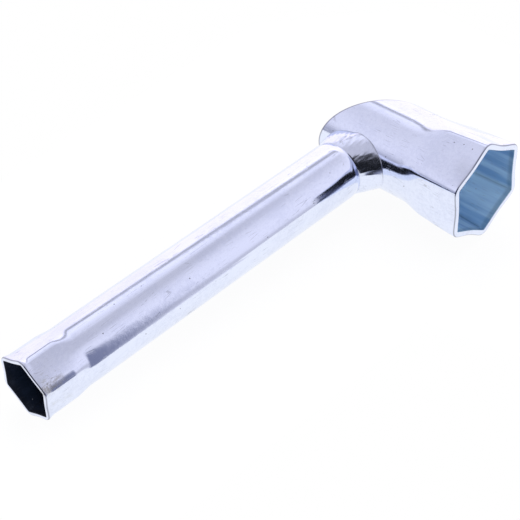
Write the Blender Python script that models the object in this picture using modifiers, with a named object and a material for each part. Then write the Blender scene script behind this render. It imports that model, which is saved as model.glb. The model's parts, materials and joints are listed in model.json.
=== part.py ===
"""Angled tube wrench for spark plugs, in metres with +Z up.

A short head tube is drawn out to a hexagon that fits the plug, and its far end is open and cut
on a slant. A long handle tube, drawn out to a smaller hexagon for nuts, is welded square to the
side of the head. The pieces are modelled about the crossing of the two tubes, with the head along
+X and the handle along -Y, and one empty then lays the whole wrench down as it lies on a bench.
"""
import math

import bmesh
import bpy
from mathutils import Vector

# Head tube and its plug socket
PLUG_HEX = 0.0210
PLUG_PLAY = 0.0001
PLUG_FLAT_BOW = 0.0002
PLUG_CORNER_RADIUS = 0.0020
PLUG_SOCKET_DEPTH = 0.0134
PLUG_BLEND_LENGTH = 0.0036
HEAD_DIAMETER = 0.0231
HEAD_WALL = 0.0016
HEAD_REACH = 0.0347
TAIL_REACH = 0.0104
TAIL_SLANT = math.radians(41.9)

# Handle tube and its nut socket
NUT_HEX = 0.0130
NUT_PLAY = 0.0001
NUT_FLAT_BOW = 0.0001
NUT_CORNER_RADIUS = 0.0015
NUT_SOCKET_DEPTH = 0.0084
NUT_BLEND_LENGTH = 0.0050
NUT_SOCKET_TWIST = math.radians(-5.4)
HANDLE_DIAMETER = 0.0155
HANDLE_WALL = 0.00105
HANDLE_REACH = 0.1166
HANDLE_DROP = 0.0014

# Fillet weld: its length up the handle, and its legs along the head
WELD_LENGTH = 0.0042
WELD_LEG_SOCKET_SIDE = 0.0039
WELD_LEG_TAIL_SIDE = 0.0006
WELD_LEG_TOP = 0.0003
WELD_EDGE = 0.0003
WELD_HOLLOW = 0.30

# Gap kept between pieces that touch
FIT_GAP = 0.0003

# How finely the round and lofted faces are divided
FLAT_STEPS = 8
CORNER_STEPS = 4
BLEND_STEPS = 6
WELD_BEARINGS = 72
WELD_FACE_STEPS = 6
WELD_SEAT_STEPS = 3
CUTTER_SEGMENTS = 96

# Plated steel
ZINC_COLOUR = (0.76, 0.78, 0.86, 1.0)
ZINC_ROUGHNESS = 0.24
WELD_COLOUR = (0.70, 0.71, 0.78, 1.0)
WELD_ROUGHNESS = 0.34

SIXTH = math.radians(60)
HALF_SIXTH = SIXTH / 2

# Sizes that follow from the ones above
HEAD_RADIUS = HEAD_DIAMETER / 2
HANDLE_RADIUS = HANDLE_DIAMETER / 2
PLUG_APOTHEM = (PLUG_HEX + PLUG_PLAY) / 2 + PLUG_FLAT_BOW + HEAD_WALL
NUT_APOTHEM = (NUT_HEX + NUT_PLAY) / 2 + NUT_FLAT_BOW + HANDLE_WALL


def clear_scene():
    for item in list(bpy.data.objects):
        bpy.data.objects.remove(item, do_unlink=True)


def new_collection(name):
    collection = bpy.data.collections.new(name)
    bpy.context.scene.collection.children.link(collection)
    return collection


def plated_steel(name, colour, roughness):
    material = bpy.data.materials.new(name)
    material.use_nodes = True
    shader = material.node_tree.nodes["Principled BSDF"]
    shader.inputs["Base Color"].default_value = colour
    shader.inputs["Metallic"].default_value = 1.0
    shader.inputs["Roughness"].default_value = roughness
    return material


def add_object(name, mesh_builder, collection, parent):
    mesh = bpy.data.meshes.new(name)
    mesh_builder.normal_update()
    mesh_builder.to_mesh(mesh)
    mesh_builder.free()
    item = bpy.data.objects.new(name, mesh)
    item.parent = parent
    collection.objects.link(item)
    return item


def add_cutter(name, mesh_builder, collection, parent):
    cutter = add_object(name, mesh_builder, collection, parent)
    cutter.hide_render = True
    cutter.display_type = "WIRE"
    return cutter


def cut(item, cutter):
    modifier = item.modifiers.new(cutter.name, "BOOLEAN")
    modifier.operation = "DIFFERENCE"
    modifier.object = cutter


def finish_piece(item, material):
    item.data.materials.append(material)
    item.data.shade_smooth()
    item.data.set_sharp_from_angle(angle=math.radians(35))


def place_on_handle(item):
    """Turn a piece modelled along +X so that it runs along the handle."""
    item.rotation_euler.z = math.radians(-90)
    item.location.z = -HANDLE_DROP


def flat_edge(apothem, corner_radius):
    """Half the flat stretch of one side of the hexagon, between its rounded corners."""
    return (apothem - corner_radius) * math.tan(HALF_SIXTH)


def corner_reach(apothem, corner_radius):
    """Distance from the axis to the outermost point of a rounded corner."""
    return (apothem - corner_radius) / math.cos(HALF_SIXTH) + corner_radius


def hexagon_radius(bearing, apothem, corner_radius, bow):
    """Distance from the axis to a hexagon with rounded corners and hollow flats."""
    from_flat = (bearing + HALF_SIXTH) % SIXTH - HALF_SIXTH
    edge = flat_edge(apothem, corner_radius)
    along_flat = apothem * math.tan(abs(from_flat))
    if along_flat < edge:
        dip = bow * (1 - (along_flat / edge) ** 2) ** 2
        return (apothem - dip) / math.cos(from_flat)
    from_corner = HALF_SIXTH - abs(from_flat)
    centre = (apothem - corner_radius) / math.cos(HALF_SIXTH)
    sideways = centre * math.sin(from_corner)
    return centre * math.cos(from_corner) + math.sqrt(corner_radius ** 2 - sideways ** 2)


def hexagon_bearings(apothem, corner_radius):
    """Bearings round the tube, close together on the corners and wider on the flats."""
    edge = math.atan(flat_edge(apothem, corner_radius) / apothem)
    corner = SIXTH - 2 * edge
    side = [-edge + 2 * edge * step / FLAT_STEPS for step in range(FLAT_STEPS)]
    side += [edge + corner * step / CORNER_STEPS for step in range(CORNER_STEPS)]
    return [bearing + number * SIXTH for number in range(6) for bearing in side]


def smooth_step(share):
    return share * share * (3 - 2 * share)


def socket_stations(start, reach, depth, blend):
    """Places along the tube, each with its share of hexagon, from the round end to the mouth."""
    blend_start = reach - depth - blend
    stations = [(start, 0.0)]
    for step in range(BLEND_STEPS + 1):
        share = step / BLEND_STEPS
        stations.append((blend_start + share * blend, smooth_step(share)))
    stations.append((reach, 1.0))
    return stations


def socket_tube(stations, round_radius, apothem, corner_radius, bow, twist):
    """Open outer surface of a tube along +X that changes from round to hexagon."""
    mesh_builder = bmesh.new()
    bearings = hexagon_bearings(apothem, corner_radius)
    rings = []
    for place, share in stations:
        ring = []
        for bearing in bearings:
            hexagon = hexagon_radius(bearing, apothem, corner_radius, bow)
            radius = round_radius + share * (hexagon - round_radius)
            across = radius * math.cos(bearing + twist)
            up = radius * math.sin(bearing + twist)
            ring.append(mesh_builder.verts.new((place, across, up)))
        rings.append(ring)
    for ring, ring_ahead in zip(rings, rings[1:]):
        for index in range(len(ring)):
            after = (index + 1) % len(ring)
            corners = (ring[index], ring[after], ring_ahead[after], ring_ahead[index])
            mesh_builder.faces.new(corners)
    return mesh_builder


def add_wall(item, thickness):
    """Give the open surface its wall, inwards."""
    modifier = item.modifiers.new("wall", "SOLIDIFY")
    modifier.thickness = thickness
    modifier.offset = -1.0
    modifier.use_even_offset = True
    modifier.use_quality_normals = True


def tail_cutter(cutters, axes):
    """Block that takes the far end of the head off on a slant."""
    size = 4 * HEAD_DIAMETER
    block = bmesh.new()
    bmesh.ops.create_cube(block, size=size)
    bmesh.ops.translate(block, vec=(-size / 2, 0, 0), verts=block.verts)
    cutter = add_cutter("tail_cutter", block, cutters, axes)
    cutter.rotation_euler.z = -TAIL_SLANT
    cutter.location.x = -TAIL_REACH
    cutter.location.y = -HEAD_RADIUS
    return cutter


def seat_cutter(cutters, axes):
    """Cylinder of the head's outside, which hollows the handle's end to sit on the head."""
    radius = HEAD_RADIUS + FIT_GAP
    cylinder = bmesh.new()
    bmesh.ops.create_cone(cylinder, cap_ends=True, segments=CUTTER_SEGMENTS, radius1=radius,
                          radius2=radius, depth=4 * HANDLE_DIAMETER)
    cutter = add_cutter("seat_cutter", cylinder, cutters, axes)
    cutter.rotation_euler.y = math.radians(90)
    return cutter


def make_head_tube(parts, cutters, axes):
    rough_end = -(TAIL_REACH + HEAD_WALL)
    stations = socket_stations(rough_end, HEAD_REACH, PLUG_SOCKET_DEPTH, PLUG_BLEND_LENGTH)
    surface = socket_tube(stations, HEAD_RADIUS, PLUG_APOTHEM, PLUG_CORNER_RADIUS, PLUG_FLAT_BOW, 0.0)
    head = add_object("head_tube", surface, parts, axes)
    add_wall(head, HEAD_WALL)
    cut(head, tail_cutter(cutters, axes))
    finish_piece(head, plated_steel("head_zinc", ZINC_COLOUR, ZINC_ROUGHNESS))


def make_handle_tube(parts, cutters, axes):
    stations = socket_stations(0.0, HANDLE_REACH, NUT_SOCKET_DEPTH, NUT_BLEND_LENGTH)
    surface = socket_tube(stations, HANDLE_RADIUS, NUT_APOTHEM, NUT_CORNER_RADIUS, NUT_FLAT_BOW,
                          NUT_SOCKET_TWIST)
    handle = add_object("handle_tube", surface, parts, axes)
    place_on_handle(handle)
    add_wall(handle, HANDLE_WALL)
    cut(handle, seat_cutter(cutters, axes))
    finish_piece(handle, plated_steel("handle_zinc", ZINC_COLOUR, ZINC_ROUGHNESS))


def weld_leg(bearing):
    """How far the bead reaches out along the head, widest on the socket side."""
    towards_socket = math.cos(bearing)
    side_leg = WELD_LEG_SOCKET_SIDE if towards_socket > 0 else WELD_LEG_TAIL_SIDE
    return WELD_LEG_TOP + (side_leg - WELD_LEG_TOP) * towards_socket ** 2


def head_surface(radius, bearing):
    """Distance along the handle from the head's axis to the bead's seat on the head."""
    height = radius * math.sin(bearing) - HANDLE_DROP
    return math.sqrt((HEAD_RADIUS + FIT_GAP) ** 2 - height ** 2)


def weld_section(bearing):
    """Outline of the bead at one bearing, as pairs of distance along the handle and radius."""
    inner = HANDLE_RADIUS + FIT_GAP
    toe = inner + weld_leg(bearing)
    handle_toe = HEAD_RADIUS + WELD_LENGTH
    start = Vector((handle_toe, inner + WELD_EDGE))
    end = Vector((head_surface(toe, bearing) + WELD_EDGE, toe))
    pull = Vector((end.x + WELD_HOLLOW * (start.x - end.x), start.y + WELD_HOLLOW * (end.y - start.y)))
    outline = [Vector((handle_toe, inner))]
    for step in range(WELD_FACE_STEPS + 1):
        share = step / WELD_FACE_STEPS
        rest = 1 - share
        outline.append(rest * rest * start + 2 * rest * share * pull + share * share * end)
    for step in range(WELD_SEAT_STEPS + 1):
        radius = toe + (inner - toe) * step / WELD_SEAT_STEPS
        outline.append(Vector((head_surface(radius, bearing), radius)))
    return outline


def make_weld_bead(parts, axes):
    """Loft of the bead's outline round the handle: its two seats change all the way round."""
    mesh_builder = bmesh.new()
    sections = []
    for number in range(WELD_BEARINGS):
        bearing = math.tau * number / WELD_BEARINGS
        section = []
        for along, radius in weld_section(bearing):
            place = (along, radius * math.cos(bearing), radius * math.sin(bearing))
            section.append(mesh_builder.verts.new(place))
        sections.append(section)
    for section, section_ahead in zip(sections, sections[1:] + sections[:1]):
        for index in range(len(section)):
            after = (index + 1) % len(section)
            corners = (section[index], section_ahead[index], section_ahead[after], section[after])
            mesh_builder.faces.new(corners)
    bmesh.ops.recalc_face_normals(mesh_builder, faces=mesh_builder.faces)
    bead = add_object("weld_bead", mesh_builder, parts, axes)
    place_on_handle(bead)
    finish_piece(bead, plated_steel("weld_zinc", WELD_COLOUR, WELD_ROUGHNESS))


def bench_normal():
    """Upward direction of a bench that touches both sockets' lowest corners and the tail."""
    plug_reach = corner_reach(PLUG_APOTHEM, PLUG_CORNER_RADIUS)
    plug_corner = Vector((HEAD_REACH - PLUG_SOCKET_DEPTH, 0, -plug_reach))
    nut_reach = corner_reach(NUT_APOTHEM, NUT_CORNER_RADIUS)
    bearing = math.radians(-90) + NUT_SOCKET_TWIST
    nut_corner = Vector((nut_reach * math.cos(bearing), -HANDLE_REACH,
                         nut_reach * math.sin(bearing) - HANDLE_DROP))
    tail = Vector((HEAD_RADIUS * math.tan(TAIL_SLANT) - TAIL_REACH, 0, -HEAD_RADIUS))
    normal = (tail - plug_corner).cross(nut_corner - plug_corner).normalized()
    return normal if normal.z > 0 else -normal


def lay_on_bench(axes, parts):
    """Tilt the wrench onto the bench, with the middle of its box over the origin."""
    up = Vector((0, 0, 1))
    axes.rotation_mode = "QUATERNION"
    axes.rotation_quaternion = bench_normal().rotation_difference(up)
    bpy.context.view_layer.update()
    graph = bpy.context.evaluated_depsgraph_get()
    points = []
    for item in parts.objects:
        if item.type == "MESH":
            shape = item.evaluated_get(graph)
            points += [item.matrix_world @ corner.co for corner in shape.data.vertices]
    low = Vector([min(point[axis] for point in points) for axis in range(3)])
    high = Vector([max(point[axis] for point in points) for axis in range(3)])
    middle = (low + high) / 2
    axes.location = (-middle.x, -middle.y, -low.z)
    bpy.context.view_layer.update()


def main():
    clear_scene()
    parts = new_collection("spark_plug_wrench")
    cutters = new_collection("wrench_cutters")
    axes = bpy.data.objects.new("wrench_axes", None)
    parts.objects.link(axes)
    make_head_tube(parts, cutters, axes)
    make_handle_tube(parts, cutters, axes)
    make_weld_bead(parts, axes)
    lay_on_bench(axes, parts)


main()
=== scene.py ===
# %% [markdown]
# # Spark plug wrench, dressed for its portrait
# The wrench is two steel tubes and a weld: a short head that ends in a big hexagon socket, and a
# long handle, welded to the head's side, that ends in a small one. All of it is zinc plated.
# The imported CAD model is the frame. Every piece below stands where a solid of that frame stands,
# and takes over from it with finer curves, rounded rims and a real finish.

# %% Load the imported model
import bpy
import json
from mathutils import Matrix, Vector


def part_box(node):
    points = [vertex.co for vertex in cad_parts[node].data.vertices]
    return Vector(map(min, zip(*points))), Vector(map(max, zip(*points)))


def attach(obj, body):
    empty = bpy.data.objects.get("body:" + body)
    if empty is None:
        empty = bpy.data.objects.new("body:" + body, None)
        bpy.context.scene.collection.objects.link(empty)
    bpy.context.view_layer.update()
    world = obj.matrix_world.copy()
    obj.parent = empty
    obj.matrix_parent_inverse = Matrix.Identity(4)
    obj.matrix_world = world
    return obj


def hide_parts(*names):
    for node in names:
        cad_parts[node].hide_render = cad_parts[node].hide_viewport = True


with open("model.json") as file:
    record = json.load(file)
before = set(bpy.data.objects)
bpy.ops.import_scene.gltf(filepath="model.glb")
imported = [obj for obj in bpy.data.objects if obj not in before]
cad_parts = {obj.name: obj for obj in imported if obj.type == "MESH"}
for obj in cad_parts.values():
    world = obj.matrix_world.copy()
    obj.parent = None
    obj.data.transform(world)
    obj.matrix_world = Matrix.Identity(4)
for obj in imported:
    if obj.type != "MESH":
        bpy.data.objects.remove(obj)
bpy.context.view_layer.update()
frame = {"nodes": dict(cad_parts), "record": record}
print("solids in the frame:", sorted(frame["nodes"]))

# %% [markdown]
# ## Camera
# The wrench is seen from in front and above, through a long lens. A camera can be aimed with a Track
# To constraint, but a fitted camera is known exactly by its place and by which way its right and top
# sides point, so those three vectors are written into its matrix. The Standard view transform shows
# a colour about as it is written, which makes a finish easy to judge.

# %% Camera
import math

import bpy
from mathutils import Matrix, Vector

CAMERA_PLACE = Vector((0.153539, -0.172535, 0.244872))
CAMERA_RIGHT = Vector((0.71591328, 0.69750938, 0.03080312))
CAMERA_UP = Vector((-0.51118944, 0.49360561, 0.70358998))
SENSOR_MM = 36.0
LENS_MM = 97.09
NEAREST_M = 0.01

camera_data = bpy.data.cameras.new("bench_camera")
camera_data.sensor_width = SENSOR_MM
camera_data.lens = LENS_MM
camera_data.clip_start = NEAREST_M
camera = bpy.data.objects.new("bench_camera", camera_data)
camera_axes = Matrix((CAMERA_RIGHT, CAMERA_UP, CAMERA_RIGHT.cross(CAMERA_UP))).transposed()
camera.matrix_world = Matrix.Translation(CAMERA_PLACE) @ camera_axes.to_4x4()
bpy.context.scene.collection.objects.link(camera)
bpy.context.scene.camera = camera
bpy.context.scene.view_settings.view_transform = "Standard"
print("camera looks down by", round(math.degrees(math.asin(camera_axes.col[2].z)), 1), "degrees")

# %% [markdown]
# ## A helper for nodes
# The floor, the studio and the plating are all node trees. Such trees can be built with nodes.new
# and links.new line by line, which soon gets long. This helper makes one node, sets its properties,
# and for each input either links a socket or stores a constant. A second one does sums with sockets.

# %% Node helpers
def add_node(tree, kind, inputs=None, **settings):
    made = tree.nodes.new(kind)
    for name, value in settings.items():
        setattr(made, name, value)
    for key, value in (inputs or {}).items():
        if isinstance(value, bpy.types.NodeSocket):
            tree.links.new(value, made.inputs[key])
        else:
            made.inputs[key].default_value = value
    return made


def maths(tree, operation, first, second=0.0, third=0.0, clamp=False):
    made = add_node(tree, "ShaderNodeMath", {0: first, 1: second, 2: third},
                    operation=operation, use_clamp=clamp)
    return made.outputs[0]


# %% [markdown]
# ## Floor
# Plated steel is a mirror, so it looks like what lies round it, and the wrench lies on plain white.
# Stronger lamps could make the picture white, but they would bleach the metal too. So the camera and
# the mirrors see most of the floor's white as a steady glow, and the rest as paint under real light,
# which keeps the soft shadow under the tubes.

# %% Floor paint
WHITE = (1.0, 1.0, 1.0, 1.0)
FLOOR_WHITE = (0.92, 0.92, 0.92, 1.0)
FLOOR_GLOW_SHARE = 0.92


def backdrop_rays(tree):
    """1 for rays from the camera, and 1 for rays from a mirror or through glass."""
    path = add_node(tree, "ShaderNodeLightPath").outputs
    mirrored = maths(tree, "ADD", path["Is Glossy Ray"], path["Is Transmission Ray"], clamp=True)
    return path["Is Camera Ray"], mirrored


def floor_paint():
    material = bpy.data.materials.new("white_floor")
    material.use_nodes = True
    tree = material.node_tree
    tree.nodes.clear()
    paint = add_node(tree, "ShaderNodeBsdfDiffuse", {"Color": FLOOR_WHITE})
    glow = add_node(tree, "ShaderNodeEmission", {"Color": WHITE, "Strength": 1.0})
    share = maths(tree, "MULTIPLY", maths(tree, "ADD", *backdrop_rays(tree)), FLOOR_GLOW_SHARE)
    both = add_node(tree, "ShaderNodeMixShader", {0: share, 1: paint.outputs[0], 2: glow.outputs[0]})
    add_node(tree, "ShaderNodeOutputMaterial", {"Surface": both.outputs[0]})
    return material


# %% [markdown]
# A floor is mostly a huge plane. Here it is a small sheet, cut round the wrench: the tubes mirror it
# close by, where it meets them, and past its edge they mirror the studio, as they would on a small
# shooting table.

# %% Floor sheet
FLOOR_OUTLINE = (
    (0.030, -0.098), (0.031, 0.020), (0.060, 0.030), (0.080, 0.060), (0.075, 0.105), (0.020, 0.125),
    (-0.050, 0.120), (-0.080, 0.075), (-0.075, -0.085), (-0.035, -0.105), (0.015, -0.108))

floor_mesh = bpy.data.meshes.new("floor_sheet")
floor_mesh.from_pydata([(x, y, 0.0) for x, y in FLOOR_OUTLINE], [], [range(len(FLOOR_OUTLINE))])
floor_mesh.materials.append(floor_paint())
floor = bpy.data.objects.new("floor_sheet", floor_mesh)
bpy.context.scene.collection.objects.link(floor)
print("floor sheet is", [round(side, 2) for side in floor.dimensions[:2]], "m")

# %% [markdown]
# ## Studio
# The studio is a white tent, open in front on a dim room. It could be built from cloth, cards and
# lamps, but a world that changes with direction does the same with softer steps and no noise. Each
# direction is known by two angles: its turn from the front (-Y) towards +X, and its rise.

# %% Directions in the studio
CLOTH_TURN = -128


def heading(turn, rise):
    """Direction with a turn and a rise in degrees."""
    turn, rise = math.radians(turn), math.radians(rise)
    return Vector((math.sin(turn) * math.cos(rise), -math.cos(turn) * math.cos(rise), math.sin(rise)))


def facing(tree, direction, towards):
    """Cosine of the angle between a direction socket and a fixed direction."""
    made = add_node(tree, "ShaderNodeVectorMath", {0: direction, 1: towards}, operation="DOT_PRODUCT")
    return made.outputs["Value"]


world = bpy.data.worlds.new("white_tent")
world.use_nodes = True
sky = world.node_tree
sky.nodes.clear()
way = add_node(sky, "ShaderNodeTexCoord").outputs["Generated"]
parts = add_node(sky, "ShaderNodeSeparateXYZ", {0: way}).outputs
rise = maths(sky, "DEGREES", maths(sky, "ARCSINE", parts["Z"]))
front = maths(sky, "MULTIPLY", parts["Y"], -1.0)
turn = maths(sky, "DEGREES", maths(sky, "ARCTAN2", parts["X"], front))
level_way = add_node(sky, "ShaderNodeVectorMath", {0: way, 1: (1, 1, 0)}, operation="MULTIPLY")
level_way = add_node(sky, "ShaderNodeVectorMath", {0: level_way.outputs[0]}, operation="NORMALIZE")
side = facing(sky, level_way.outputs[0], heading(CLOTH_TURN, 0))
print("the bright cloth hangs", CLOTH_TURN, "degrees from the front")

# %% [markdown]
# ### Roof, cloth and seam
# The tent has a roof that greys towards the top, and a brighter cloth behind and to the left. The
# seam where they meet draws a thin dark line along both tubes. Separate cards would give hard edges,
# so a colour ramp shades the roof, and smooth fades set the edges of the cloth. Two numbers say where
# a fade starts and ends, and two more the values that it goes between, where these aren't 0 and 1.

# %% Fades
def fade(tree, value, start, end, low=0.0, high=1.0):
    """Smooth change from low to high while value goes from start to end."""
    spans = {"Value": value, "From Min": start, "From Max": end, "To Min": low, "To Max": high}
    made = add_node(tree, "ShaderNodeMapRange", spans, interpolation_type="SMOOTHSTEP")
    return made.outputs["Result"]


def overlap(tree, *masks):
    """Where all the masks are on: their product."""
    shared = masks[0]
    for mask in masks[1:]:
        shared = maths(tree, "MULTIPLY", shared, mask)
    return shared


def steps(tree, value, points):
    """Curve through (value, level) points, by a colour ramp."""
    made = add_node(tree, "ShaderNodeValToRGB", {0: value})
    ramp = made.color_ramp
    while len(ramp.elements) < len(points):
        ramp.elements.new(0.5)
    for element, (place, shade) in zip(ramp.elements, points):
        element.position = place
        element.color = (shade, shade, shade, 1.0)
    return made.outputs[0]


# %% [markdown]
# Heights are in degrees of rise, and widths are cosines of the angle from the middle of the cloth.
# The seam slopes, so its height follows from the turn, and it stops where the line on the head ends
# in a notch.

# %% Roof, cloth and seam
STRAIGHT_UP = 90.0
ROOF_SHADES = ((0.0, 0.94), (0.13, 0.94), (0.28, 0.955), (0.40, 0.935),
               (0.50, 0.89), (0.58, 0.83), (0.63, 0.745), (0.68, 0.66))
SEAM_TURN, SEAM_RISE = -130, 41.1
SEAM_SLOPE = 0.36
SEAM_LEVEL_BEFORE = -141
SEAM_UNDERSIDE, SEAM_UPPER_SIDE = (-6, -1), (6, 1)
SEAM_WIDTH = (0.82, 0.95)
SEAM_STOP = (-107, -116)
CLOTH_WIDTH = (0.62, 0.92)
CLOTH_TOP = (-3, -8)

roof = steps(sky, maths(sky, "DIVIDE", rise, STRAIGHT_UP), ROOF_SHADES)
from_pivot = maths(sky, "ADD", rise, -SEAM_TURN * SEAM_SLOPE - SEAM_RISE)
above_seam = maths(sky, "MULTIPLY_ADD", maths(sky, "MAXIMUM", turn, SEAM_LEVEL_BEFORE),
                   SEAM_SLOPE, from_pivot)
cloth = overlap(sky, fade(sky, side, *CLOTH_WIDTH), fade(sky, above_seam, *CLOTH_TOP))
seam = overlap(sky, fade(sky, above_seam, *SEAM_UNDERSIDE), fade(sky, above_seam, *SEAM_UPPER_SIDE),
               fade(sky, side, *SEAM_WIDTH), fade(sky, turn, *SEAM_STOP))
print("the seam crosses the middle of the cloth at a rise of", SEAM_RISE, "degrees")

# %% [markdown]
# ### Light of the tent
# A real tent isn't evenly bright: it glows where a lamp stands behind it, it has a dimmer band low
# down on the side away from the cloth, and its left wall gets a little less light. Lamps for each
# would light the floor too. Here each is a mask with a depth, put into one level of light, and the
# tint goes from the roof's to the cloth's.

# %% Light of the tent
ROOF_TINT = (0.940, 0.927, 1.04, 1.0)
CLOTH_TINT = (1.00, 0.935, 1.04, 1.0)
CLOTH_EXTRA = 0.28
SEAM_DEPTH = 0.56
GLOW_HEADING = (-135, 52)
GLOW_EDGE = (0.905, 0.99)
GLOW_EXTRA = 0.24
BAND_BOTTOM, BAND_TOP = (-20, -8), (9, -4)
BAND_SIDE = (0.3, 0.0)
BAND_DEPTH = 0.26
WALL_LEFT, WALL_RIGHT, WALL_TOP = (-126, -112), (-28, -46), (57, 46)
WALL_DEPTH = 0.06


def add_mix(tree, share, first, second):
    return add_node(tree, "ShaderNodeMix", {0: share, 6: first, 7: second}, data_type="RGBA").outputs[2]


def dimmed(tree, level, mask, depth):
    return maths(tree, "MULTIPLY", level, maths(tree, "MULTIPLY_ADD", mask, -depth, 1.0))


glow = fade(sky, facing(sky, way, heading(*GLOW_HEADING)), *GLOW_EDGE)
band = overlap(sky, fade(sky, rise, *BAND_BOTTOM), fade(sky, rise, *BAND_TOP), fade(sky, side, *BAND_SIDE))
wall = overlap(sky, fade(sky, turn, *WALL_LEFT), fade(sky, turn, *WALL_RIGHT), fade(sky, rise, *WALL_TOP))
level = maths(sky, "MULTIPLY_ADD", cloth, CLOTH_EXTRA, roof)
level = maths(sky, "MULTIPLY_ADD", glow, GLOW_EXTRA, level)
level = dimmed(sky, level, seam, SEAM_DEPTH)
level = maths(sky, "MULTIPLY_ADD", band, -BAND_DEPTH, level)
level = dimmed(sky, level, wall, WALL_DEPTH)
tint = add_mix(sky, cloth, ROOF_TINT, CLOTH_TINT)
light = add_node(sky, "ShaderNodeVectorMath", {0: tint, "Scale": level}, operation="SCALE").outputs[0]
print("the cloth adds", CLOTH_EXTRA, "to a roof of", ROOF_TINT[:3])

# %% [markdown]
# ### Open front
# Polished metal looks dull without something dark to mirror. In front the tent is open on a dim
# room, which gives the handle its grey patch, and in the middle of it the room is darkest, which
# gives the black streaks beside the weld. Black cards would do this in a real studio. As masks by
# angle, their edges can be as soft as the streaks on the metal are.

# %% Open front
OPENING_TINT = (0.225, 0.24, 0.35, 1.0)
OPENING_LEFT, OPENING_RIGHT = (-60, -6), (118.6, 113.0)
OPENING_HEIGHT = (-25, 10, 20, 44)
OPENING_TOP = (0, -21)
DARK_TINT = (0.010, 0.011, 0.013, 1.0)
DARK_LEFT, DARK_RIGHT = (-6, 8), (66, 50)
DARK_HEIGHT_LEFT, DARK_HEIGHT_RIGHT = (0, 20, 44, 68), (42, 64, 68, 44)
DARK_TOP, DARK_BOTTOM = (4, -5), (-14, -3)

above_opening = maths(sky, "SUBTRACT", rise, fade(sky, turn, *OPENING_HEIGHT))
opening = overlap(sky, fade(sky, turn, *OPENING_LEFT), fade(sky, turn, *OPENING_RIGHT),
                  fade(sky, above_opening, *OPENING_TOP))
light = add_mix(sky, opening, light, OPENING_TINT)
dark_height = maths(sky, "MINIMUM", fade(sky, turn, *DARK_HEIGHT_LEFT), fade(sky, turn, *DARK_HEIGHT_RIGHT))
above_dark = maths(sky, "SUBTRACT", rise, dark_height)
dark_side = overlap(sky, fade(sky, turn, *DARK_LEFT), fade(sky, turn, *DARK_RIGHT),
                    fade(sky, above_dark, *DARK_TOP), fade(sky, rise, *DARK_BOTTOM))
light = add_mix(sky, dark_side, light, DARK_TINT)
print("the dark side spans", DARK_RIGHT[0] - DARK_LEFT[0], "degrees")

# %% [markdown]
# ### White round the wrench
# The picture has a plain white ground, which the tent's greys would spoil. Light Path tells the rays
# apart: the camera sees plain white, and so do mirrors that look steeply down past the floor sheet,
# while all other rays meet the tent.

# %% White round the wrench
LOOKING_DOWN = (-16, -32)

camera_rays, mirror_rays = backdrop_rays(sky)
low_mirrors = overlap(sky, mirror_rays, fade(sky, rise, *LOOKING_DOWN))
white_share = maths(sky, "ADD", camera_rays, low_mirrors, clamp=True)
tent = add_node(sky, "ShaderNodeBackground", {"Color": light, "Strength": 1.0})
plain = add_node(sky, "ShaderNodeBackground", {"Color": WHITE, "Strength": 1.0})
shown = add_node(sky, "ShaderNodeMixShader", {0: white_share, 1: tent.outputs[0], 2: plain.outputs[0]})
add_node(sky, "ShaderNodeOutputWorld", {"Surface": shown.outputs[0]})
bpy.context.scene.world = world
print("studio nodes:", len(sky.nodes))

# %% [markdown]
# ### Lamps
# Two wide lamps light the floor's paint: one overhead, and one low behind the wrench. A small third
# one shines into the plug socket, whose bore is too dull to mirror much. Spot lamps would throw
# sharper shadows, so all three are areas. They are hidden from mirrors, because their edges would
# show as hard squares on the tubes.

# %% Lamps
def hang_lamp(name, place, aim, width, watts):
    data = bpy.data.lights.new(name, "AREA")
    data.size = width
    data.energy = watts
    lamp = bpy.data.objects.new(name, data)
    lamp.location = place
    lamp.rotation_euler = (Vector(aim) - Vector(place)).to_track_quat("-Z", "Y").to_euler()
    lamp.visible_glossy = False
    bpy.context.scene.collection.objects.link(lamp)
    print(name, watts, "W")


hang_lamp("overhead_lamp", place=(-0.1, 0.1, 0.9), aim=(0, 0, 0), width=0.9, watts=3.2)
hang_lamp("low_back_lamp", place=(-0.34, 0.34, 0.30), aim=(-0.06, 0.12, 0), width=0.4, watts=0.9)
hang_lamp("mouth_lamp", place=(0.21, -0.18, 0.15), aim=(0.02, 0.063, 0.015), width=0.12, watts=0.5)

# %% [markdown]
# ## How the wrench lies
# Each tube is modelled along its own +X axis, in millimetres, about the point where the two axes
# cross. The wrench rests on three points, so its axes are a little off the bench's. Pieces could be
# turned by eye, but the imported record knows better: it says which way each socket faces, and where
# the middle of the plug socket's wall is on the flat that looks away from the handle. The head's own
# sizes lead from there back to the crossing.

# %% Wrench axes
MM = 0.001
HEAD_MOUTH = 34.7
HEAD_WALL = 1.6
HEAD_APOTHEM = 12.35
HEAD_BOW = 0.2
HANDLE_DROP = 1.4

mounts = {mount["name"]: mount for mount in frame["record"]["mounts"]}
head_way = Vector(mounts["plug_socket_rim"]["axis"]).normalized()
handle_way = Vector(mounts["nut_socket_rim"]["axis"]).normalized()
rim_middle = HEAD_APOTHEM - HEAD_BOW - HEAD_WALL / 2
to_crossing = handle_way * rim_middle - head_way * HEAD_MOUTH
crossing = Vector(mounts["plug_socket_rim"]["pos_m"]) + to_crossing * MM
lie = Matrix((head_way, -handle_way, handle_way.cross(head_way))).transposed().to_4x4()
head_axes = Matrix.Translation(crossing) @ lie @ Matrix.Scale(MM, 4)
square_off = Matrix.Rotation(math.radians(-90), 4, "Z")
handle_axes = head_axes @ Matrix.Translation((0, 0, -HANDLE_DROP)) @ square_off
print("head tips up", round(math.degrees(math.asin(head_way.z)), 2), "degrees")

# %% [markdown]
# ## Hexagons
# A hexagon socket is pressed from round tube over a hardened core, so its corners stay round and
# its flats draw in a little. A Blender circle of six vertices with a bevel would give the corners
# but not the hollow flats, so the distance from the axis is worked out for every bearing.

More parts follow.
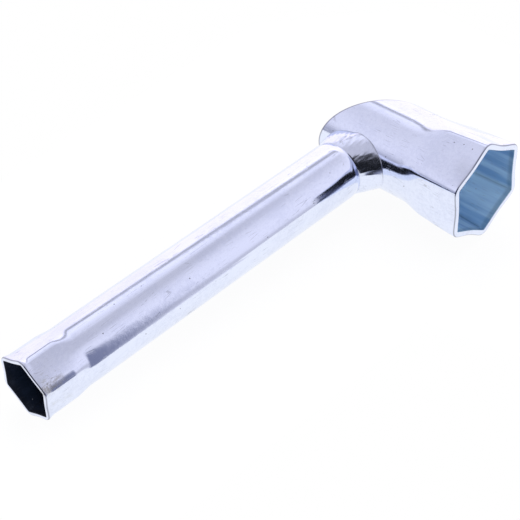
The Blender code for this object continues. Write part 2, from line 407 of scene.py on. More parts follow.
# %% Hexagon outline
SIXTH = math.radians(60)
HALF_SIXTH = SIXTH / 2
FLAT_STEPS = 22
CORNER_STEPS = 12


def flat_edge(apothem, corner_radius):
    """How far a flat reaches from its middle before the corner's round begins."""
    return (apothem - corner_radius) * math.tan(HALF_SIXTH)


def hexagon_radius(bearing, apothem, corner_radius, bow):
    from_flat = (bearing + HALF_SIXTH) % SIXTH - HALF_SIXTH
    edge = flat_edge(apothem, corner_radius)
    along_flat = apothem * math.tan(abs(from_flat))
    if along_flat < edge:
        dip = bow * (1 - (along_flat / edge) ** 2) ** 2
        return (apothem - dip) / math.cos(from_flat)
    from_corner = HALF_SIXTH - abs(from_flat)
    centre = (apothem - corner_radius) / math.cos(HALF_SIXTH)
    sideways = centre * math.sin(from_corner)
    return centre * math.cos(from_corner) + math.sqrt(max(corner_radius ** 2 - sideways ** 2, 0.0))


def hexagon_bearings(apothem, corner_radius):
    """Bearings round the tube, close together on the corners."""
    edge = math.atan(flat_edge(apothem, corner_radius) / apothem)
    turn = SIXTH - 2 * edge
    side = [-edge + 2 * edge * step / FLAT_STEPS for step in range(FLAT_STEPS)]
    side += [edge + turn * step / CORNER_STEPS for step in range(CORNER_STEPS)]
    return [bearing + number * SIXTH for number in range(6) for bearing in side]


print("points round a socket:", 6 * (FLAT_STEPS + CORNER_STEPS))

# %% [markdown]
# ## Tubes
# A press opens the end of a round tube to a hexagon, and the steel takes some length to follow. It
# could be modelled as a round and a hexagon cylinder joined by a Bridge, which shows a hard line at
# the join. Here the sizes of one tube are kept together, and a formula gives the skin anywhere along
# it: first the tube spreads, then flats appear, and last they sharpen towards the mouth.

# %% Sizes of a tube
from dataclasses import dataclass
from typing import Callable


@dataclass
class Tube:
    """Sizes of one tube in millimetres, with the mouth of its socket at +X."""

    radius: float  # of the round part, outside
    wall: float
    apothem: float  # from the axis to a flat of the hexagon, outside
    corner: float  # radius of the hexagon's corners, outside
    bow: float  # how far a flat draws in at its middle
    mouth: float  # where the tube ends
    depth: float  # length of the hexagon
    blend: float  # length over which round turns to hexagon
    flare_from: float  # the tube spreads from so far before the hexagon
    flare_to: float  # until so far past its start
    early: float  # share of the hexagon that the blend gives
    sharpen: float  # length before the mouth over which the rest follows
    twist: float  # turn of the hexagon about the axis, in radians
    root_end: Callable  # where the other end lies, for a radius and a bearing
    ease: float = 1.0  # above 1, the blend starts to show later
    neck: tuple = None  # where a ground neck starts, where it is deepest, and how deep

    def __post_init__(self):
        self.hexagon_start = self.mouth - self.depth
        self.blend_start = self.hexagon_start - self.blend
        self.flare_start = self.hexagon_start - self.flare_from
        self.flare_end = self.hexagon_start + self.flare_to


# %% [markdown]
# The mouth of a pressed socket waves a little: next to the rim the flats draw in further, and more
# on the outside than inside, where the core held them. Beside a weld a tube is often ground down to
# a neck, which is taken off the round part.

# %% Skin of a tube
INNER_CORNER = 0.45
RIM_BOW_LENGTH = 5.0
OUTER_RIM_BOW = 0.9
INNER_RIM_BOW = 0.25


def limited(share):
    return min(max(share, 0.0), 1.0)


def smooth_step(share):
    share = limited(share)
    return share * share * (3 - 2 * share)


def neck_depth(tube, place):
    if tube.neck is None:
        return 0.0
    neck_from, neck_to, neck_drop = tube.neck
    return neck_drop * limited((neck_from - place) / (neck_from - neck_to)) ** 2


def skin_radius(tube, place, bearing, inside):
    """Distance from the axis to the outer skin, or to the inner one where inside is 1."""
    spread = smooth_step((place - tube.flare_start) / (tube.flare_end - tube.flare_start))
    share = tube.early * smooth_step((place - tube.blend_start) / tube.blend) ** tube.ease
    share += (1 - tube.early) * smooth_step((place - tube.mouth) / tube.sharpen + 1)
    flat = tube.apothem - tube.bow
    round_radius = tube.radius + spread * (flat - tube.radius) - inside * tube.wall
    if not inside:
        round_radius -= neck_depth(tube, place)
    near_rim = smooth_step((place - tube.mouth) / RIM_BOW_LENGTH + 1)
    bow = tube.bow * (1 + near_rim * (INNER_RIM_BOW if inside else OUTER_RIM_BOW))
    corner = INNER_CORNER if inside else tube.corner
    hexagon = hexagon_radius(bearing, tube.apothem - inside * tube.wall, corner, bow)
    return round_radius + share * (hexagon - round_radius)


print("at the rim a flat draws in", 1 + OUTER_RIM_BOW, "times as far outside")

# %% [markdown]
# A tube with a wall could be made with a Solidify modifier and a Bevel. Here the section of the wall
# is drawn at each bearing instead: along the outside, round the rim at the mouth, back along the
# inside and round the other end. Skinning those sections gives rims with soft edges of one even
# radius, also on the slanted end, and no modifier has to guess.

# %% Runs along a tube
ROOT_FINE = 9.0
BLEND_MARGIN = 1.0
ROOT_STEPS, MIDDLE_STEPS, BLEND_STEPS, SOCKET_STEPS = 30, 36, 30, 14


def stations(tube, start, end):
    """Places along the tube, close together at its root and where it turns from round to hexagon."""
    marks = [(start, ROOT_STEPS), (start + ROOT_FINE, MIDDLE_STEPS),
             (tube.blend_start - BLEND_MARGIN, BLEND_STEPS),
             (tube.hexagon_start + BLEND_MARGIN, SOCKET_STEPS), (end, 1)]
    places = []
    for (low, count), (high, _) in zip(marks, marks[1:]):
        places += [low + (high - low) * step / count for step in range(count)]
    return places + [end]


def skin_run(tube, root, bearing, inside, rounding):
    """Points (place, radius) along one skin, short of both its edges by their rounding."""
    places = stations(tube, root + rounding, tube.mouth - rounding)
    return [Vector((place, skin_radius(tube, place, bearing, inside))) for place in places]


print("steps along a tube:", ROOT_STEPS + MIDDLE_STEPS + BLEND_STEPS + SOCKET_STEPS)

# %% Sections of the wall
OUTER_ROUNDING = 0.38
INNER_ROUNDING = 0.24
RIM_STEPS = 5
RIM_SIDE = 2
TAIL_EDGE_SHADE = 0.9


def curve_point(start, pull, end, t):
    """Point on a soft curve that leaves start towards pull, and reaches end from there."""
    return (1 - t) ** 2 * start + 2 * t * (1 - t) * pull + t * t * end


def rounded(before, corner, after):
    """Points of a soft corner between two straight runs."""
    return [curve_point(before, corner, after, step / RIM_STEPS) for step in range(RIM_STEPS + 1)]


def wall_section(tube, outer_bearing, inner_bearing):
    """Closed outline of the wall at one bearing, which of its points are bore, and its painted edge shade.
    """
    root_out = tube.root_end(tube.radius, outer_bearing + tube.twist)
    root_in = tube.root_end(tube.radius - tube.wall, inner_bearing + tube.twist)
    outside = skin_run(tube, root_out, outer_bearing, 0, OUTER_ROUNDING)
    inside = skin_run(tube, root_in, inner_bearing, 1, INNER_ROUNDING)[::-1]
    rim_out, rim_in = Vector((tube.mouth, outside[-1].y)), Vector((tube.mouth, inside[0].y))
    end_out, end_in = Vector((root_out, tube.radius)), Vector((root_in, tube.radius - tube.wall))
    across = (rim_in - rim_out).normalized()
    along_end = (end_out - end_in).normalized()
    outline = outside[:-1]
    mouth_edge = len(outline)
    outline += rounded(outside[-1], rim_out, rim_out + across * OUTER_ROUNDING)
    bore_from = len(outline) + RIM_SIDE
    outline += rounded(rim_in - across * INNER_ROUNDING, rim_in, inside[0])
    outline += inside[1:-1]
    outline += rounded(inside[-1], end_in, end_in + along_end * INNER_ROUNDING)
    tail_edge = len(outline)
    bore_to = tail_edge - 1 - RIM_SIDE
    outline += rounded(end_out - along_end * OUTER_ROUNDING, end_out, outside[0])[:-1]
    # Painted shade on the soft rims: darkest in the middle of each rounding, and at the tail's outer
    # corner.
    painted_edge_shade = {start + step: math.sin(math.pi * step / RIM_STEPS) ** 2
                  for start in (mouth_edge, tail_edge) for step in range(RIM_STEPS + 1)}
    painted_edge_shade[0] = painted_edge_shade[len(outline) - 1] = TAIL_EDGE_SHADE
    return outline, bore_from, bore_to, painted_edge_shade


print("rims are softened by", OUTER_ROUNDING, "mm outside and", INNER_ROUNDING, "mm inside")

# %% [markdown]
# ## From sections to pieces
# A row of sections becomes a skin by joining each point to its neighbours, which Bridge Edge Loops
# does by hand in the viewport. The loop below does it for all sections at once and closes the ring.
# The points keep values for the finish, among them their place in the tube's own axes, so that
# drawing lines run along the tube however it lies.

# %% Skin the sections
import bmesh


def swung(spot, bearing):
    """Point (place, radius) of a section, swung about the tube's own +X axis."""
    return Vector((spot.x, spot.y * math.cos(bearing), spot.y * math.sin(bearing)))


def skin_mesh(name, sections, axes, extra):
    """Closed mesh through rings of local points, moved into the row frame, with point attributes."""
    count = len(sections[0])
    points = [point for section in sections for point in section]
    faces = []
    for number in range(len(sections)):
        here, ahead = number * count, (number + 1) % len(sections) * count
        for step in range(count):
            after = (step + 1) % count
            faces.append((here + step, here + after, ahead + after, ahead + step))
    mesh = bpy.data.meshes.new(name)
    mesh.from_pydata([axes @ point for point in points], [], faces)
    builder = bmesh.new()
    builder.from_mesh(mesh)
    bmesh.ops.recalc_face_normals(builder, faces=builder.faces)
    builder.to_mesh(mesh)
    builder.free()
    place = mesh.attributes.new("own_place", "FLOAT_VECTOR", "POINT")
    place.data.foreach_set("vector", [value for point in points for value in point])
    for key, values in extra.items():
        mesh.attributes.new(key, "FLOAT", "POINT").data.foreach_set("value", values)
    mesh.shade_smooth()
    return mesh


# %% Put a piece in its node's place
def add_piece(name, mesh, node, material):
    mesh.materials.append(material)
    piece = bpy.data.objects.new(name, mesh)
    bpy.context.scene.collection.objects.link(piece)
    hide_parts(node)
    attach(piece, "root")
    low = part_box(node)[0]
    drift = max(abs(min(corner[axis] for corner in piece.bound_box) - low[axis]) for axis in range(3))
    print(name, len(mesh.polygons), "faces, lowest corner within", round(drift / MM, 2), "mm of the CAD")


# %% [markdown]
# ## Painted shade and marks of use on a tube
# Shade is painted as dark lines into the inner corners of a socket and as a dark band behind its lip. The
# outer corners are rubbed on the side that knocks against things, and further to one side of a corner than
# to the other. Painting such masks by hand takes a UV map. The bearing of each point already says where it
# lies, so the masks are worked out from it, with widths in degrees and lengths in millimetres.

# %% Painted shade and marks of use
CREASE_SHADE = 0.55
CREASE_WIDTH = 1.5
CREASE_FADE = 4
LIP_SHADE = 0.6
LIP_DEPTH = 1.9
LIP_FADE = 1.3
SCUFFED_SIDE = math.radians(25)
SCUFF_FOCUS = 4
SCUFF_FADE = 3
RUB_ABOVE = 17.0
RUB_BELOW = 3.0


def degrees_from_corner(bearing):
    return (math.degrees(bearing) + 60) % 60 - 30


# Painted shade: a dark line along each inner corner of the bore, and a dark band just inside the lip.
def painted_bore_shade(tube, place, bearing):
    crease = CREASE_SHADE * math.exp(-(degrees_from_corner(bearing) / CREASE_WIDTH) ** 2)
    crease *= smooth_step((place - tube.blend_start) / CREASE_FADE)
    return max(crease, LIP_SHADE * smooth_step((place - tube.mouth + LIP_DEPTH) / LIP_FADE))


def corner_rub(tube, place, bearing, turn):
    off_corner = degrees_from_corner(bearing)
    reach = RUB_ABOVE if off_corner > 0 else RUB_BELOW
    scuffed = max(0.0, math.cos(turn - SCUFFED_SIDE)) ** SCUFF_FOCUS
    scuffed *= smooth_step((place - tube.hexagon_start) / SCUFF_FADE)
    return math.exp(-(off_corner / reach) ** 2) * scuffed


print("corners are rubbed most at", round(math.degrees(SCUFFED_SIDE)), "degrees round the tube")

# %% Mesh of a tube
def tube_mesh(name, tube, axes):
    outer_bearings = hexagon_bearings(tube.apothem, tube.corner)
    inner_bearings = hexagon_bearings(tube.apothem - tube.wall, INNER_CORNER)
    sections, bore, edge, rub = [], [], [], []
    for outer_bearing, inner_bearing in zip(outer_bearings, inner_bearings):
        outline, bore_from, bore_to, painted_edge_shade = wall_section(tube, outer_bearing, inner_bearing)
        section = []
        for number, spot in enumerate(outline):
            inner_skin = bore_from - RIM_SIDE <= number <= bore_to + RIM_SIDE
            turn = (inner_bearing if inner_skin else outer_bearing) + tube.twist
            section.append(swung(spot, turn))
            in_bore = bore_from <= number <= bore_to
            bore.append(1.0 if in_bore else 0.0)
            edge.append(painted_bore_shade(tube, spot.x, inner_bearing) if in_bore else painted_edge_shade.get(number, 0.0))
            rub.append(0.0 if in_bore else corner_rub(tube, spot.x, outer_bearing, turn))
        sections.append(section)
    return skin_mesh(name, sections, axes, {"bore": bore, "edge": edge, "corner": rub})


# %% [markdown]
# ## Zinc plate
# Bright zinc plate is a soft mirror with a cool tint. One noise on the roughness would do for a
# distant view. Seen close, the plate is several things at once: clouds, ripple, scratches, grains
# and wear. All three pieces share them, so each effect is a node group with its own inputs.

# %% Group helpers
VECTOR, FLOAT, COLOUR = "NodeSocketVector", "NodeSocketFloat", "NodeSocketColor"
NOWHERE = (0, 0, 0)


def new_group(name, inputs, outputs):
    group = bpy.data.node_groups.new(name, "ShaderNodeTree")
    for label, kind, value in inputs:
        socket = group.interface.new_socket(label, in_out="INPUT", socket_type=kind)
        socket.default_value = value
    for label, kind in outputs:
        group.interface.new_socket(label, in_out="OUTPUT", socket_type=kind)
    given = add_node(group, "NodeGroupInput").outputs
    return group, given, add_node(group, "NodeGroupOutput").inputs


def noise_value(tree, vector, scale, detail=2.0, roughness=0.5):
    made = add_node(tree, "ShaderNodeTexNoise", {"Vector": vector, "Scale": scale, "Detail": detail,
                                                 "Roughness": roughness})
    return made.outputs[0]


def stretched(tree, vector, along, rotation=NOWHERE, location=NOWHERE):
    """Place for a pattern that is drawn out along the tube, the more the smaller along is."""
    made = add_node(tree, "ShaderNodeMapping", {"Vector": vector, "Scale": (along, 1, 1),
                                                "Rotation": rotation, "Location": location})
    return made.outputs[0]


# %% [markdown]
# Bloom is the cloudy look of plate that dried unevenly: slow clouds with finer ones in them, a touch
# greyer and rougher than the clear plate.

# %% Cloudy plate
def bloom_group():
    group, given, out = new_group(
        "plate_bloom",
        [("Place", VECTOR, NOWHERE), ("Roughness", FLOAT, 0.16), ("Spread", FLOAT, 0.08)],
        [("Cloud", FLOAT), ("Roughness", FLOAT)])
    drawn_out = stretched(group, given["Place"], along=0.5)
    slow = noise_value(group, drawn_out, scale=0.16, detail=3.0, roughness=0.6)
    fine = noise_value(group, given["Place"], scale=1.1, detail=4.0, roughness=0.65)
    both = maths(group, "MULTIPLY_ADD", fine, 0.5, maths(group, "MULTIPLY", slow, 0.5))
    cloud = fade(group, both, start=0.42, end=0.62)
    rough = maths(group, "MULTIPLY_ADD", cloud, given["Spread"], given["Roughness"])
    group.links.new(cloud, out["Cloud"])
    group.links.new(rough, out["Roughness"])
    return group


bloom = bloom_group()
print("group", bloom.name)

# %% [markdown]
# Drawn and tumbled steel isn't flat under its plate. A fine ripple, calm in places, breaks up the
# edges of what it mirrors, drawing lines run along the tube, and hair scratches cross them. Cells
# that are stretched long and thin have edges like such scratches, so a Voronoi texture draws them.

# %% Ripple, lines and scratches
SCRATCH_TURN, SCRATCH_SHIFT = (0.4, 0.9, 0.5), (0.3, 1.7, 0.8)
SCRATCH_WIDTH = 0.026


def ripple_group():
    group, given, out = new_group(
        "plate_ripple",
        [("Place", VECTOR, NOWHERE), ("Ripple", FLOAT, 1.0), ("Lines", FLOAT, 1.0),
         ("Scratches", FLOAT, 1.0)],
        [("Height", FLOAT), ("Scratch", FLOAT)])
    place = given["Place"]
    wave = noise_value(group, stretched(group, place, along=0.6), scale=1.1, detail=4.0, roughness=0.6)
    slow = noise_value(group, stretched(group, place, along=0.4), scale=0.24)
    wave = maths(group, "MULTIPLY", wave, fade(group, slow, start=0.38, end=0.66, low=0.25))
    lines = noise_value(group, stretched(group, place, along=0.03), scale=2.2, detail=3.0, roughness=0.6)
    slanted = stretched(group, place, along=0.05, rotation=SCRATCH_TURN, location=SCRATCH_SHIFT)
    cells = add_node(group, "ShaderNodeTexVoronoi", {"Vector": slanted, "Scale": 0.9},
                     feature="DISTANCE_TO_EDGE").outputs["Distance"]
    hairs = fade(group, cells, start=SCRATCH_WIDTH, end=0.0)
    patches = fade(group, noise_value(group, place, scale=0.35), start=0.52, end=0.62)
    scratch = maths(group, "MULTIPLY", hairs, patches)
    height = maths(group, "MULTIPLY", wave, given["Ripple"])
    height = maths(group, "ADD", height, maths(group, "MULTIPLY", lines, given["Lines"]))
    height = maths(group, "SUBTRACT", height, maths(group, "MULTIPLY", scratch, given["Scratches"]))
    group.links.new(height, out["Height"])
    group.links.new(scratch, out["Scratch"])
    return group


ripple = ripple_group()
print("group", ripple.name)

# %% [markdown]
# Small dark pits and grains are left where dirt sat under the plate. Scattered spots could be meshes,
# but they have no height that shows, so they are the middles of Voronoi cells, of uneven size.

# %% Specks
def speck_group():
    group, given, out = new_group(
        "plate_specks",
        [("Place", VECTOR, NOWHERE), ("Spacing", FLOAT, 0.30), ("Size", FLOAT, 0.085)],
        [("Speck", FLOAT)])
    uneven = noise_value(group, given["Place"], scale=3.0)
    cells = add_node(group, "ShaderNodeTexVoronoi", {"Vector": given["Place"], "Scale": given["Spacing"]},
                     feature="F1")
    size = maths(group, "MULTIPLY", given["Size"], uneven)
    group.links.new(maths(group, "LESS_THAN", cells.outputs["Distance"], size), out["Speck"])
    return group


specks = speck_group()
print("group", specks.name)

# %% [markdown]
# The end that goes over the nut has lost some of its shine. One mask could do for all wear, but it
# has two kinds: Worn is a broad greying in patches, and Rubbed is bare steel in fine grain along the
# corners, where the mask on the points lets it through.

# %% Wear
WEAR_FADE = 8.0
OFF_CORNER = 0.34


def wear_group():
    group, given, out = new_group(
        "plate_wear",
        [("Place", VECTOR, NOWHERE), ("Start", FLOAT, 100.0), ("Corner", FLOAT, 0.0)],
        [("Worn", FLOAT), ("Rubbed", FLOAT)])
    along = add_node(group, "ShaderNodeSeparateXYZ", {0: given["Place"]}).outputs["X"]
    near_end = fade(group, maths(group, "SUBTRACT", along, given["Start"]), start=0.0, end=WEAR_FADE)
    wide_place = stretched(group, given["Place"], along=0.7)
    patches = noise_value(group, wide_place, scale=0.42, detail=4.0, roughness=0.65)
    grain = noise_value(group, stretched(group, given["Place"], along=0.6), scale=1.9, detail=3.0,
                        roughness=0.7)
    off_corner = maths(group, "MULTIPLY_ADD", given["Corner"], OFF_CORNER, -OFF_CORNER)
    grain = maths(group, "ADD", grain, off_corner)
    worn = maths(group, "MULTIPLY", near_end, fade(group, patches, start=0.50, end=0.80))
    rubbed = maths(group, "MULTIPLY", near_end, fade(group, grain, start=0.24, end=0.56))
    group.links.new(worn, out["Worn"])
    group.links.new(rubbed, out["Rubbed"])
    return group


wear = wear_group()
print("group", wear.name)

# %% [markdown]
# Inside, a tube shows long streaks from drawing. By the mouth they have the bore's own two tints,
# and further in the plate ends and the streaks are bare steel. A Wave texture would make them too
# even, so they are noise that is drawn out along the tube.

# %% Streaks in a bore
BARE_BORE = ((0.27, 0.31, 0.36, 1.0), (0.48, 0.53, 0.59, 1.0))
PLATE_ENDS = (16.0, 3.0)


def streak_group():
    group, given, out = new_group(
        "bore_streaks",
        [("Place", VECTOR, NOWHERE), ("Deep", COLOUR, WHITE), ("Pale", COLOUR, WHITE)],
        [("Color", COLOUR)])
    long_place = stretched(group, given["Place"], along=0.10)
    lengths = noise_value(group, long_place, scale=0.28, detail=3.0, roughness=0.55)
    drawn = fade(group, lengths, start=0.34, end=0.64)
    plated = add_mix(group, drawn, given["Deep"], given["Pale"])
    along = add_node(group, "ShaderNodeSeparateXYZ", {0: given["Place"]}).outputs["X"]
    bare = fade(group, along, *PLATE_ENDS)
    group.links.new(add_mix(group, bare, plated, add_mix(group, drawn, *BARE_BORE)), out["Color"])
    return group


streaks = streak_group()
print("group", streaks.name)

# %% [markdown]
# Every soft edge has a thin dark line of painted shade. A Pointiness or Bevel node could find the edges,
# but only in one renderer, so the mask comes from the points.

# %% Dark edges
EDGE_SHARE = 0.8


def edge_group():
    group, given, out = new_group(
        "edge_shade", [("Color", COLOUR, WHITE), ("Edge", FLOAT, 0.0), ("Tint", COLOUR, WHITE)],
        [("Color", COLOUR)])
    share = maths(group, "MULTIPLY", given["Edge"], EDGE_SHARE)
    group.links.new(add_mix(group, share, given["Color"], given["Tint"]), out["Color"])
    return group


edges = edge_group()
print("group", edges.name)

# %% [markdown]
# ## Plated steel
# The three pieces are plated in one bath, so they share one recipe: a metallic Principled shader
# whose colour, roughness and height come from the groups above. Three materials made by hand would
# drift apart, so one function makes them, from a short list of what differs.

# %% What differs from piece to piece
@dataclass
class Plate:
    """Finish of one piece, with lengths and heights in millimetres."""

    roughness: float
    spread: float  # how much rougher the clouds are
    ripple: float  # height of the ripple, of the drawing lines and of the scratches
    lines: float
    scratches: float
    bore_tints: tuple = None  # deep and pale
    bore_roughness: float = 0.0
    bore_dullness: float = 0.0  # share of the metal that the bore loses
    worn_from: float = 100.0  # place along the tube, past its end where it isn't worn


def attribute(tree, name, output="Fac"):
    return add_node(tree, "ShaderNodeAttribute", attribute_name=name).outputs[output]


def use_group(tree, group, inputs):
    return add_node(tree, "ShaderNodeGroup", inputs, node_tree=group).outputs


# %% [markdown]
# Only the tubes have a bore and worn ends. Inside the sockets the plate is thin and dull, which the bore
# mask on the points brings in: other tints, more roughness and less metal. In the small socket the tints
# are almost black, which is painted shade.

# %% Bore and wear of a tube
# Painted shade: the tint of the dark lines on rims, in bore corners, behind the lip and along the weld's
# toes.
EDGE_SHADE_TINT = (0.20, 0.20, 0.24, 1.0)
BORE_EDGE_SHADE = 0.26
WORN_TINT = (0.58, 0.60, 0.63, 1.0)
RUBBED_TINT = (0.40, 0.40, 0.41, 1.0)
RUBBED_ROUGHNESS = 0.25


def dress_tube(tree, plate, place, colour, rough):
    """Colour, roughness, tint of the painted edge shade and metal share with the bore and the wear put in.
    """
    bore = attribute(tree, "bore")
    worn = use_group(tree, wear, {"Place": place, "Start": plate.worn_from,
                                  "Corner": attribute(tree, "corner")})
    colour = add_mix(tree, worn["Worn"], colour, WORN_TINT)
    colour = add_mix(tree, worn["Rubbed"], colour, RUBBED_TINT)
    deep, pale = plate.bore_tints
    drawn = use_group(tree, streaks, {"Place": place, "Deep": deep, "Pale": pale})
    colour = add_mix(tree, bore, colour, drawn["Color"])
    rough = maths(tree, "MULTIPLY_ADD", worn["Rubbed"], RUBBED_ROUGHNESS, rough)
    rough = maths(tree, "MAXIMUM", rough, maths(tree, "MULTIPLY", bore, plate.bore_roughness))
    bore_edge = [BORE_EDGE_SHADE * part for part in deep[:3]] + [1.0]
    edge_shade_tint = add_mix(tree, bore, EDGE_SHADE_TINT, bore_edge)
    metal = maths(tree, "MULTIPLY_ADD", bore, -plate.bore_dullness, 1.0)
    return colour, rough, edge_shade_tint, metal


# %% Plated steel
ZINC_PALE = (0.795, 0.845, 1.0, 1.0)
ZINC_GREY = (0.735, 0.785, 0.95, 1.0)
SPECK_TINT = (0.20, 0.20, 0.23, 1.0)
SCRATCH_SHADE = 0.35
SCRATCH_ROUGHNESS = 0.10


def plated_steel(name, plate):
    material = bpy.data.materials.new(name)
    material.use_nodes = True
    tree = material.node_tree
    shader = tree.nodes["Principled BSDF"].inputs
    place = attribute(tree, "own_place", "Vector")
    clouds = use_group(tree, bloom, {"Place": place, "Roughness": plate.roughness, "Spread": plate.spread})
    relief = use_group(tree, ripple, {"Place": place, "Ripple": plate.ripple, "Lines": plate.lines,
                                      "Scratches": plate.scratches})
    colour = add_mix(tree, clouds["Cloud"], ZINC_PALE, ZINC_GREY)
    rough = maths(tree, "MULTIPLY_ADD", relief["Scratch"], SCRATCH_ROUGHNESS, clouds["Roughness"])
    edge_shade_tint = EDGE_SHADE_TINT
    shader["Metallic"].default_value = 1.0
    if plate.bore_tints:
        colour, rough, edge_shade_tint, metal = dress_tube(tree, plate, place, colour, rough)
        tree.links.new(metal, shader["Metallic"])
    pits = use_group(tree, specks, {"Place": place})["Speck"]
    marks = maths(tree, "MAXIMUM", pits, maths(tree, "MULTIPLY", relief["Scratch"], SCRATCH_SHADE))
    colour = add_mix(tree, marks, colour, SPECK_TINT)
    edged = use_group(tree, edges, {"Color": colour, "Edge": attribute(tree, "edge"), "Tint": edge_shade_tint})
    bump = add_node(tree, "ShaderNodeBump", {"Height": relief["Height"], "Strength": 1.0, "Distance": MM})
    tree.links.new(edged["Color"], shader["Base Color"])
    tree.links.new(rough, shader["Roughness"])
    tree.links.new(bump.outputs[0], shader["Normal"])
    print(name, "has", len(tree.nodes), "nodes")
    return material


# %% [markdown]
# ## Head
# The head is a short tube of 23 mm. One end is pressed out to the big hexagon, and the other is sawn
# off on a slant that leaves the wall long on the handle's side, where the weld needs it. A Boolean
# could make that cut, but it leaves a ragged edge to round off. The slant is a plane, so the place
# where each bearing ends follows from the distance to it. The bore has a blue cast by its mouth.

# %% Head
HEAD_RADIUS = 11.55
TAIL_REACH = 10.4
TAIL_SLANT = math.radians(41.9)
PLUG_BORE = ((0.23, 0.42, 0.66, 1.0), (0.52, 0.75, 0.92, 1.0))


def tail_plane(radius, bearing):
    return -TAIL_REACH + (radius * math.cos(bearing) + HEAD_RADIUS) * math.tan(TAIL_SLANT)


head_zinc = plated_steel("head_zinc_plate", Plate(
    roughness=0.085, spread=0.05, ripple=0.011, lines=0.0040, scratches=0.006,
    bore_tints=PLUG_BORE, bore_roughness=0.28, bore_dullness=0.60))
head_tube = Tube(
    radius=HEAD_RADIUS, wall=HEAD_WALL, apothem=HEAD_APOTHEM, corner=2.8, bow=HEAD_BOW, mouth=HEAD_MOUTH,
    depth=11.2, blend=9.0, flare_from=10.5, flare_to=5.5, early=0.57, ease=1.5, sharpen=13.4, twist=0.0,
    root_end=tail_plane)
add_piece("head_and_plug_socket", tube_mesh("head_and_plug_socket", head_tube, head_axes),
          "head_tube", head_zinc)

# %% [markdown]
# ## Handle
# The handle is a longer and thinner tube. Its far end is the small hexagon, pressed with a slight
# twist, and its near end is hollowed to the head's round side, where the weld covers it. Again a
# formula takes the place of a Boolean: the head's side gives the place where each bearing ends.

# %% Handle
HANDLE_RADIUS = 7.75
WELD_TOE = 15.6
WELD_NECK = 0.36
NECK_LENGTH = 2.2
# Painted shade: the small socket's bore is tinted almost black, for the shade deep inside it.
HANDLE_BORE_PAINTED_SHADE = ((0.007, 0.012, 0.026, 1.0), (0.012, 0.020, 0.042, 1.0))


def head_side(radius, bearing):
    height = radius * math.sin(bearing) - HANDLE_DROP
    return math.sqrt(HEAD_RADIUS ** 2 - height ** 2)


handle_zinc = plated_steel("handle_zinc_plate", Plate(
    roughness=0.085, spread=0.05, ripple=0.014, lines=0.0035, scratches=0.006,
    bore_tints=HANDLE_BORE_PAINTED_SHADE, bore_roughness=0.50, bore_dullness=0.60, worn_from=107.0))
handle_tube = Tube(
    radius=HANDLE_RADIUS, wall=1.05, apothem=7.70, corner=2.4, bow=0.1, mouth=116.6, depth=8.4, blend=5.0,
    flare_from=9.0, flare_to=0.0, early=0.60, sharpen=1.8, twist=math.radians(-5.4), root_end=head_side,
    neck=(WELD_TOE + NECK_LENGTH, WELD_TOE, WELD_NECK))
add_piece("handle_and_nut_socket", tube_mesh("handle_and_nut_socket", handle_tube, handle_axes),
          "handle_tube", handle_zinc)

# %% [markdown]
# ## Weld
# The bead fills the inner corner on the socket side and thins out to a skin on the other. A torus
# would be even all round, so the bead's reach along the head is given at a few bearings, with a
# smooth curve through them.

# %% Reach of the weld
LEG_BEARINGS = (-180, -140, -90, -45, -8, 8, 23, 39, 64, 80, 93, 140, 180)
LEG_SIZES = (0.85, 0.65, 0.25, 1.90, 3.50, 3.95, 3.94, 3.00, 1.58, 0.85, 0.30, 0.65, 0.85)


def weld_leg(bearing):
    """How far the bead reaches out along the head, in millimetres."""
    degrees = (math.degrees(bearing) + 180) % 360 - 180
    number = max(spot for spot in range(len(LEG_SIZES) - 1) if LEG_BEARINGS[spot] <= degrees)
    span = LEG_BEARINGS[number + 1] - LEG_BEARINGS[number]
    share = (degrees - LEG_BEARINGS[number]) / span

    def slope(spot):
        low, high = max(spot - 1, 0), min(spot + 1, len(LEG_SIZES) - 1)
        return (LEG_SIZES[high] - LEG_SIZES[low]) / (LEG_BEARINGS[high] - LEG_BEARINGS[low]) * span

    rest = 1 - share
    return (LEG_SIZES[number] * (1 + 2 * share) * rest ** 2 + slope(number) * share * rest ** 2
            + LEG_SIZES[number + 1] * share ** 2 * (3 - 2 * share) - slope(number + 1) * share ** 2 * rest)


print("bead reaches out by up to", max(LEG_SIZES), "mm")

# %% [markdown]
# A bead freezes in steps, which leaves ripples across it, with lumps between them. A Wave texture as
# bump would not change the outline, so the face itself swells and sinks. The noise of mathutils bends
# the ripples, and it gives the same bead each time.

# %% Ripples of the weld
from mathutils import noise

RIPPLES = 46
RIPPLE_BEND = 5.0
RIPPLE_DRIFT = 2.2
RIPPLE_HEIGHT = 0.032
DRIFT_ROUND = 3.0
DRIFT_ACROSS = 1.3
LUMP_HEIGHT = 0.06
LUMP_SCALE = 2.3
CROWN = 0.22
CROWN_FULLNESS = 0.8
BACK_CROWN = 0.12
BACK_BEARING = math.radians(128)
BACK_FOCUS = 6


def on_ring(radius, bearing, height):
    return Vector((radius * math.cos(bearing), radius * math.sin(bearing), height))


def weld_swell(bearing, share):
    """How far the face stands out from its smooth curve."""
    spot = on_ring(DRIFT_ROUND, bearing, DRIFT_ACROSS * share)
    phase = RIPPLES * bearing + RIPPLE_BEND * (share - 0.5) ** 2 + RIPPLE_DRIFT * noise.noise(spot)
    step = 0.5 + 0.5 * math.sin(phase)
    cap = math.sin(math.pi * share) ** CROWN_FULLNESS
    back = max(0.0, math.cos(bearing - BACK_BEARING)) ** BACK_FOCUS
    lumps = LUMP_HEIGHT * noise.noise(spot * LUMP_SCALE)
    return cap * (CROWN + BACK_CROWN * back + RIPPLE_HEIGHT * step * step + lumps)


print("a ripple every", round(360 / RIPPLES, 1), "degrees")

# %% [markdown]
# At each bearing the bead is a curve from the handle to the head, closed below the surface of both,
# so that no gap shows at its toes.

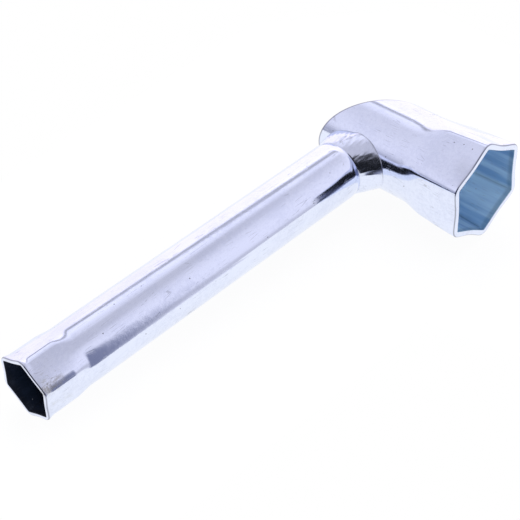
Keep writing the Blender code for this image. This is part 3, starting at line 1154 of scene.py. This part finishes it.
# %% Section of the weld
WELD_STEPS = 28
WELD_SINK = 0.12
TOE_WAVE = 0.22
TOE_WAVE_ROUND = 2.2
TOE_WAVE_HEIGHT = 7.0
WAVE_ON_HEAD = 0.5
WAVE_ON_HANDLE = 0.4
TOE_LIFT = 0.05
TOE_GAP = 0.02
FACE_PULL = 0.46


def weld_section(bearing):
    """Closed outline of the bead at one bearing as (place along the handle, radius)."""
    toe_wave = TOE_WAVE * noise.noise(on_ring(TOE_WAVE_ROUND, bearing, TOE_WAVE_HEIGHT))
    toe = HANDLE_RADIUS + weld_leg(bearing) + WAVE_ON_HEAD * toe_wave
    start = Vector((WELD_TOE + WAVE_ON_HANDLE * toe_wave, HANDLE_RADIUS - WELD_NECK + TOE_LIFT))
    end = Vector((head_side(toe, bearing) + TOE_GAP, toe))
    pull = Vector((end.x + FACE_PULL * (start.x - end.x), start.y + FACE_PULL * (end.y - start.y)))
    face = []
    for step in range(WELD_STEPS + 1):
        t = step / WELD_STEPS
        tangent = 2 * (1 - t) * (pull - start) + 2 * t * (end - pull)
        outward = Vector((-tangent.y, tangent.x)).normalized()
        if outward.y < 0 and outward.x < 0:
            outward = -outward
        face.append(curve_point(start, pull, end, t) + outward * weld_swell(bearing, t))
    under = start.y - WELD_SINK
    under_head = Vector((end.x - WELD_SINK - TOE_GAP, toe))
    root = Vector((head_side(under, bearing) - WELD_SINK, under))
    return face + [under_head, root, Vector((start.x, under))]


print("points in a section of the bead:", len(weld_section(0.0)))

# %% [markdown]
# The toe on the head has a thin dark line of painted shade, strongest on top, where the bead stands on the
# round side with a small step. It is kept on the points like the painted dark edges of the tubes.

# %% Weld
WELD_BEARINGS = 480
# Painted shade along both toes of the bead.
HANDLE_TOE_SHADE = [0.12, 0.04]
HEAD_TOE_LEAST = 0.06
HEAD_TOE_EXTRA = 0.84
HEAD_TOE_RISE = (-0.1, 0.3)
BEFORE_TOE = 0.4


def weld_mesh():
    sections, toe_shade = [], []
    for number in range(WELD_BEARINGS):
        bearing = math.tau * number / WELD_BEARINGS
        sections.append([swung(spot, bearing) for spot in weld_section(bearing)])
        lowest, highest = HEAD_TOE_RISE
        on_top = smooth_step((math.sin(bearing) - lowest) / (highest - lowest))
        head_toe = HEAD_TOE_LEAST + HEAD_TOE_EXTRA * on_top
        toe_shade += HANDLE_TOE_SHADE + [0.0] * (WELD_STEPS - 3) + [BEFORE_TOE * head_toe, head_toe]
        toe_shade += [head_toe, 0.0, HANDLE_TOE_SHADE[0]]
    return skin_mesh("weld_fillet", sections, handle_axes, {"edge": toe_shade})


weld_zinc = plated_steel("weld_zinc_plate", Plate(
    roughness=0.15, spread=0.06, ripple=0.014, lines=0.0, scratches=0.0))
add_piece("weld_fillet", weld_mesh(), "weld_bead", weld_zinc)

# %% [markdown]
# ## Sizes
# Finer curves must not change the wrench's size.

# %% Sizes
import json
